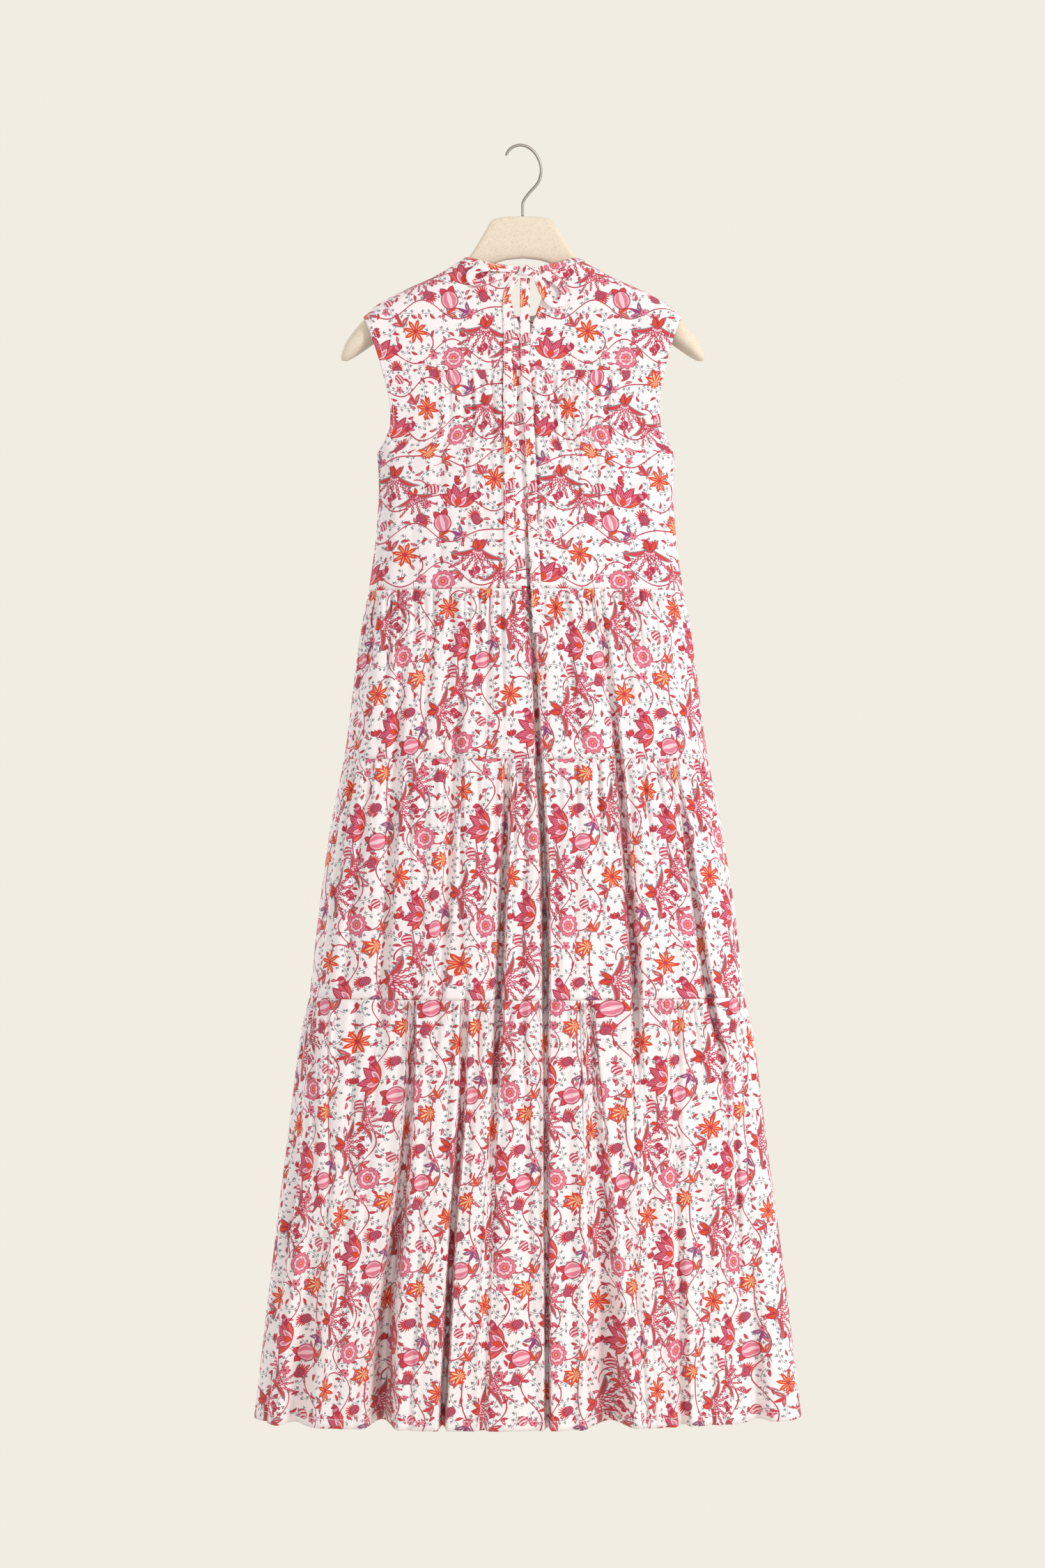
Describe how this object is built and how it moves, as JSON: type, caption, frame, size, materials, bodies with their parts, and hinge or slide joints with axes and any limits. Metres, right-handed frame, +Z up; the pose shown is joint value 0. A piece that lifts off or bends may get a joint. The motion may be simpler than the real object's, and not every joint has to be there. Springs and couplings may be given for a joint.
{
  "type": "maxi dress on a hanger",
  "caption": "Sleeveless tiered maxi dress in flower-printed cotton, with a gathered back, a neck slit closed by a tie, and the contoured hanger with steel hook that holds it.",
  "frame": {"origin": "inside top of the hanger's hook, where it is held", "axes": "+Z up; the back of the dress, with the neck slit and tie, faces -Y; +X is to the right of someone looking at that back"},
  "size_m": [0.628, 0.1802, 1.4583],
  "materials": {
    "printed_cotton": "matte plain-weave cotton with a crimson, orange and pink flower print on a very pale ground",
    "printed_tape": "the same printed cotton, folded and stitched into a narrow band and tie",
    "hanger_plastic": "matte moulding, cream with a fine fleck",
    "hook_steel": "bright drawn steel wire"
  },
  "bodies": {
    "root": {"back_yoke_left": "printed_cotton", "back_yoke_right": "printed_cotton", "back_bodice": "printed_cotton", "front_bodice": "printed_cotton", "neck_band": "printed_tape", "tier_2_back": "printed_cotton", "tier_2_front": "printed_cotton", "tier_3_back": "printed_cotton", "tier_3_front": "printed_cotton", "tier_4_back": "printed_cotton", "tier_4_front": "printed_cotton", "tie_knot": "printed_tape", "tie_loop_left": "printed_tape", "tie_loop_right": "printed_tape", "tie_tail_left": "printed_tape", "tie_tail_right": "printed_tape", "hanger_body": "hanger_plastic", "hanger_hook": "hook_steel"}
  },
  "joints": []
}
